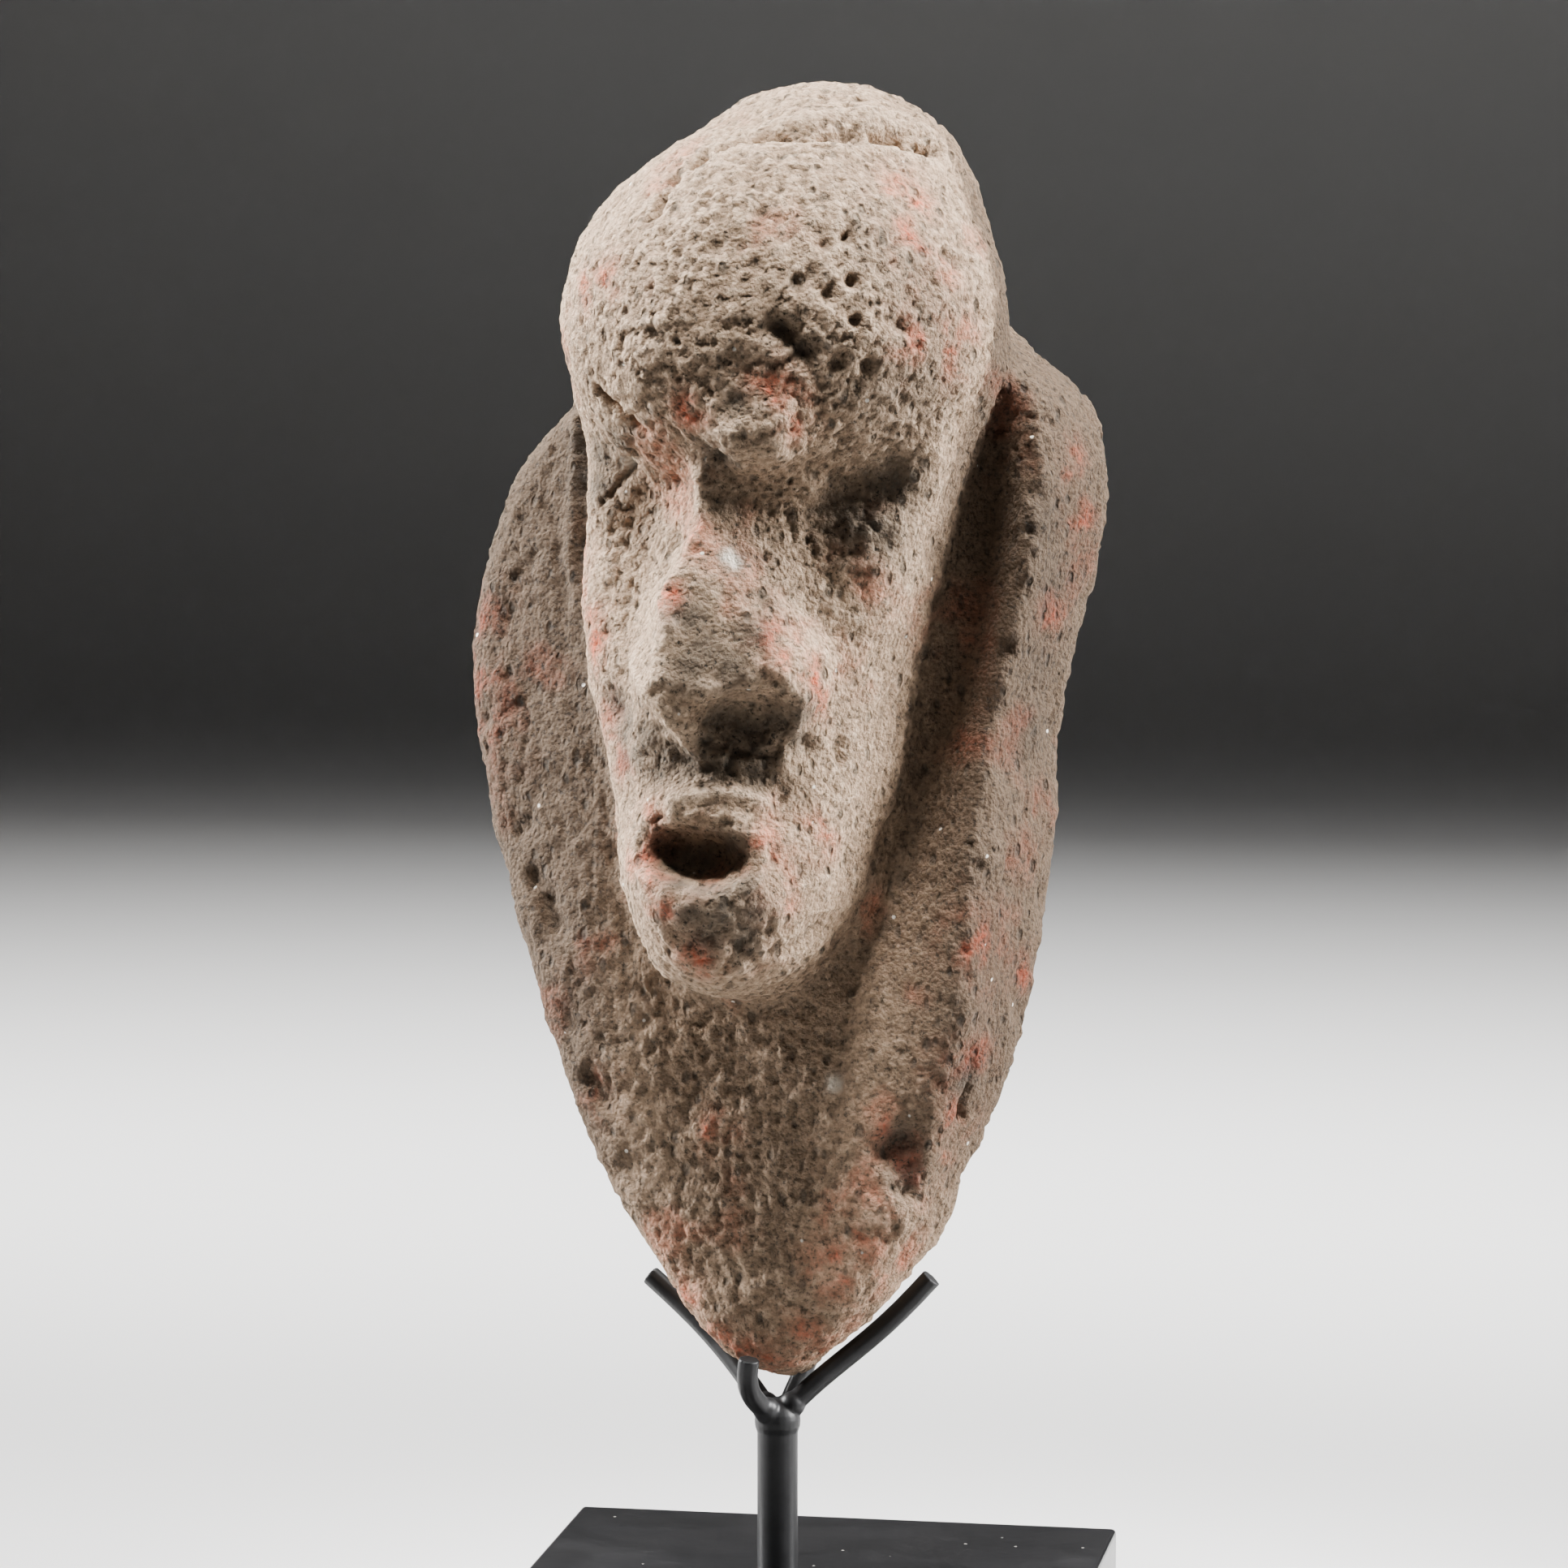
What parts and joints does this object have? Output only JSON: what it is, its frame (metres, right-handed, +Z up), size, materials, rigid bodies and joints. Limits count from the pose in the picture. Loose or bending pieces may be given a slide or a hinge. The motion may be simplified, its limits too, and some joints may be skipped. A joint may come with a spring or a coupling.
{
  "type": "stone head sculpture",
  "caption": "Carved sandstone head in high relief on a leaf-shaped slab, standing on its point in a cradle of black rods on a post and a square block.",
  "frame": {"origin": "middle of the square block's underside", "axes": "+Z up; the head looks towards -Y and its face turns 10 degrees towards -X; +X is the viewer's right"},
  "size_m": [0.1514, 0.132, 0.3765],
  "materials": {
    "sandstone": "matt",
    "black_steel": "satin",
    "black_lacquer": "satin black lacquer"
  },
  "bodies": {
    "root": {"stone_head": "sandstone", "base_block": "black_lacquer", "post": "black_steel", "left_arm": "black_steel", "right_arm": "black_steel", "front_prong": "black_steel", "back_arm": "black_steel"}
  },
  "joints": []
}
